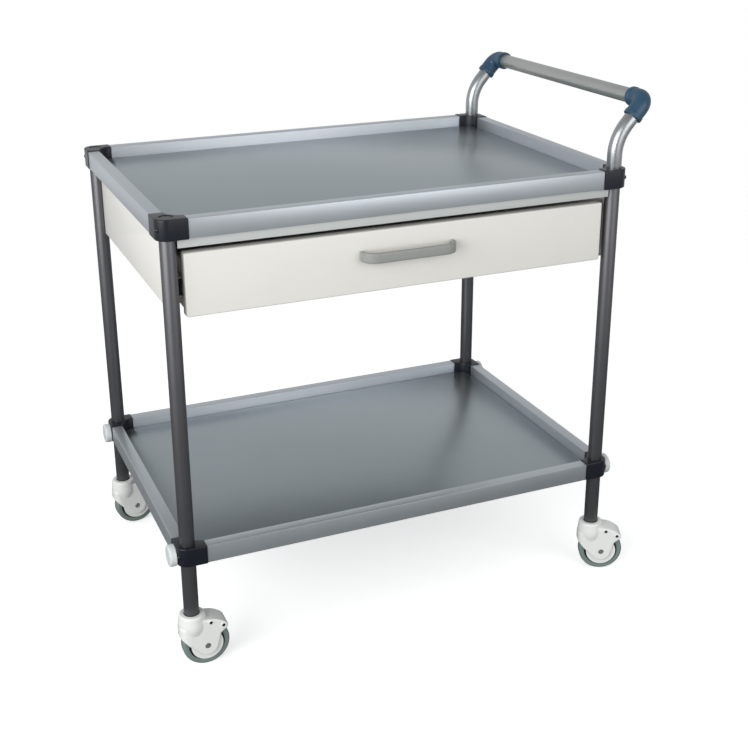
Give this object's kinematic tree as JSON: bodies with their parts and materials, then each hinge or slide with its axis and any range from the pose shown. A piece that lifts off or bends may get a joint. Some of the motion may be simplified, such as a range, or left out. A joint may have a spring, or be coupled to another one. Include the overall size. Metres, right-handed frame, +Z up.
{
  "type": "ward trolley",
  "caption": "Wheeled hospital ward trolley with upper and lower trays in tubular posts, a drawer, a push handle and swivel castors.",
  "frame": {"origin": "on the floor, under the middle of the whole footprint", "axes": "+X towards the push handle, -Y towards the front, where the drawer opens, +Z up"},
  "size_m": [0.8634, 0.5786, 0.8916],
  "materials": {
    "post_steel": "dark satin",
    "handle_steel": "bright satin",
    "bar_steel": "satin",
    "aluminium": "satin anodised",
    "tray_steel": "satin",
    "navy_plastic": "moulded satin",
    "blue_plastic": "moulded satin",
    "cream_paint": "powder coated",
    "fascia_paint": "satin",
    "zinc": "zinc plated",
    "grey_plastic": "moulded satin",
    "pale_plastic": "moulded satin",
    "white_plastic": "moulded gloss",
    "dark_plastic": "moulded",
    "grey_rubber": "matt"
  },
  "bodies": {
    "root": {"upper_rail_left": "aluminium", "upper_rail_front": "aluminium", "upper_rail_right": "aluminium", "upper_rail_rear": "aluminium", "upper_tray": "tray_steel", "upper_corner_front_left": "navy_plastic", "upper_corner_front_right": "navy_plastic", "upper_corner_rear_left": "navy_plastic", "upper_corner_rear_right": "navy_plastic", "lower_rail_left": "aluminium", "lower_rail_front": "aluminium", "lower_rail_right": "aluminium", "lower_rail_rear": "aluminium", "lower_tray": "tray_steel", "lower_corner_front_left": "navy_plastic", "lower_corner_front_right": "navy_plastic", "lower_corner_rear_left": "navy_plastic", "lower_corner_rear_right": "navy_plastic", "post_front_left": "post_steel", "post_front_right": "post_steel", "post_rear_left": "post_steel", "post_rear_right": "post_steel", "end_buffer_front_left": "pale_plastic", "end_buffer_front_right": "pale_plastic", "end_buffer_rear_left": "pale_plastic", "end_buffer_rear_right": "pale_plastic", "handle_tube_front": "handle_steel", "handle_tube_rear": "handle_steel", "handle_elbow_front": "blue_plastic", "handle_elbow_rear": "blue_plastic", "handle_bar": "bar_steel", "drawer_case": "cream_paint", "fascia_strip": "fascia_paint", "case_runner_left": "zinc", "case_runner_right": "zinc", "castor_stem_front_left": "zinc", "castor_stem_front_right": "zinc", "castor_stem_rear_left": "zinc", "castor_stem_rear_right": "zinc"},
    "drawer": {"drawer_front": "cream_paint", "drawer_box": "cream_paint", "drawer_runner_left": "zinc", "drawer_runner_right": "zinc", "drawer_pull": "grey_plastic"},
    "swivel_front_left": {"castor_fork_front_left": "white_plastic", "castor_axle_front_left": "zinc"},
    "wheel_front_left": {"wheel_core_front_left": "dark_plastic", "tyre_front_left": "grey_rubber"},
    "swivel_front_right": {"castor_fork_front_right": "white_plastic", "castor_axle_front_right": "zinc"},
    "wheel_front_right": {"wheel_core_front_right": "dark_plastic", "tyre_front_right": "grey_rubber"},
    "swivel_rear_left": {"castor_fork_rear_left": "white_plastic", "castor_axle_rear_left": "zinc"},
    "wheel_rear_left": {"wheel_core_rear_left": "dark_plastic", "tyre_rear_left": "grey_rubber"},
    "swivel_rear_right": {"castor_fork_rear_right": "white_plastic", "castor_axle_rear_right": "zinc"},
    "wheel_rear_right": {"wheel_core_rear_right": "dark_plastic", "tyre_rear_right": "grey_rubber"}
  },
  "joints": [
    {"name": "drawer_slide", "type": "slide", "parent": "root", "child": "drawer", "axis": [0, -1, 0], "range_m": [0, 0.32]},
    {"name": "castor_swivel_front_left", "type": "hinge", "parent": "root", "child": "swivel_front_left", "pos_m": [-0.40124, -0.24982, 0.08966], "axis": [0, 0, 1], "continuous": true},
    {"name": "castor_spin_front_left", "type": "hinge", "parent": "swivel_front_left", "child": "wheel_front_left", "pos_m": [-0.38124, -0.24982, 0.03966], "axis": [0, 1, 0], "continuous": true},
    {"name": "castor_swivel_front_right", "type": "hinge", "parent": "root", "child": "swivel_front_right", "pos_m": [0.36276, -0.24982, 0.08966], "axis": [0, 0, 1], "continuous": true},
    {"name": "castor_spin_front_right", "type": "hinge", "parent": "swivel_front_right", "child": "wheel_front_right", "pos_m": [0.38104, -0.25796, 0.03966], "axis": [0.4067, 0.9135, 0], "continuous": true},
    {"name": "castor_swivel_rear_left", "type": "hinge", "parent": "root", "child": "swivel_rear_left", "pos_m": [-0.40124, 0.26418, 0.08966], "axis": [0, 0, 1], "continuous": true},
    {"name": "castor_spin_rear_left", "type": "hinge", "parent": "swivel_rear_left", "child": "wheel_rear_left", "pos_m": [-0.38135, 0.26627, 0.03966], "axis": [-0.1045, 0.9945, 0], "continuous": true},
    {"name": "castor_swivel_rear_right", "type": "hinge", "parent": "root", "child": "swivel_rear_right", "pos_m": [0.36276, 0.26418, 0.08966], "axis": [0, 0, 1], "continuous": true},
    {"name": "castor_spin_rear_right", "type": "hinge", "parent": "swivel_rear_right", "child": "wheel_rear_right", "pos_m": [0.38233, 0.26002, 0.03966], "axis": [0.2079, 0.9781, 0], "continuous": true}
  ]
}
